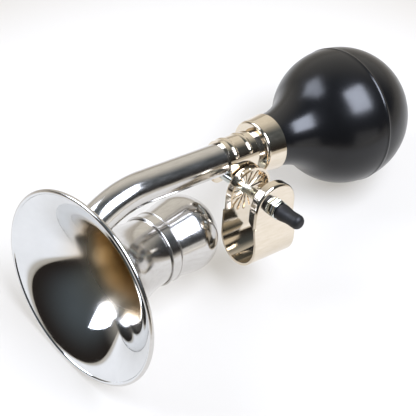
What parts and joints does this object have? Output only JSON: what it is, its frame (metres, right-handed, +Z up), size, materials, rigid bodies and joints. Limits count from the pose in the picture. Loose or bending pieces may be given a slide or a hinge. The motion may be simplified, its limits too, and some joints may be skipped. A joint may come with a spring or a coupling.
{
  "type": "bulb horn",
  "caption": "Chromed bulb horn with a flared bell, bent tube, reed, black rubber bulb and a bolted strap clamp for a handlebar.",
  "frame": {"origin": "centre of the clamp's loop, on the axis of the handlebar that holds the horn", "axes": "+X runs along the handlebar and the horn's tube, from the bell to the bulb; +Z is up, with the bell below the tube; the bolt's nut end faces -Y"},
  "size_m": [0.2058, 0.0997, 0.1275],
  "materials": {
    "chrome": "bright polished chrome plating",
    "nickel": "polished warm nickel plating on pressed steel",
    "zinc": "dull zinc plating",
    "brass": "plain turned and drawn brass",
    "black_rubber": "satin moulded black rubber"
  },
  "bodies": {
    "clamp": {"handlebar_clamp": "nickel"},
    "bracket": {"tube_clip": "nickel", "clamp_bolt": "zinc"},
    "horn": {"bell": "chrome", "joint_band": "chrome", "rear_cap": "chrome", "horn_tube": "chrome", "bulb_ferrule": "nickel", "neck_sleeve": "brass", "reed_holder": "brass", "reed_shallot": "brass", "reed_clip": "brass"},
    "bulb": {"bulb": "black_rubber"},
    "reed": {"reed_tongue": "brass"},
    "nut": {"clamp_nut": "zinc"},
    "cap": {"bolt_cap": "black_rubber"}
  },
  "joints": [
    {"name": "clamp_swivel", "type": "hinge", "parent": "clamp", "child": "bracket", "pos_m": [0, 0.02145, 0.02076], "axis": [0, -0.9994, -0.0349], "range_deg": [-42, 4]},
    {"name": "collar_turn", "type": "hinge", "parent": "bracket", "child": "horn", "pos_m": [0.0731, 0.02096, 0.03475], "axis": [1, 0, 0], "range_deg": [-3, 260]},
    {"name": "bulb_squeeze", "type": "slide", "parent": "horn", "child": "bulb", "axis": [-1, 0, 0], "range_m": [0, 0.022], "stiffness_N_per_m": 500, "deforming": ["bulb"]},
    {"name": "reed_flutter", "type": "hinge", "parent": "horn", "child": "reed", "pos_m": [0.0297, 0.02096, 0.0368], "axis": [0, -1, 0], "range_deg": [0, 1.2], "stiffness_Nm_per_rad": 0.0005},
    {"name": "nut_turn", "type": "hinge", "parent": "bracket", "child": "nut", "pos_m": [0, 0.02145, 0.02076], "axis": [0, -0.9994, -0.0349], "continuous": true},
    {"name": "cap_pull", "type": "slide", "parent": "bracket", "child": "cap", "axis": [0, -0.9994, -0.0349], "range_m": [0, 0.015]}
  ]
}
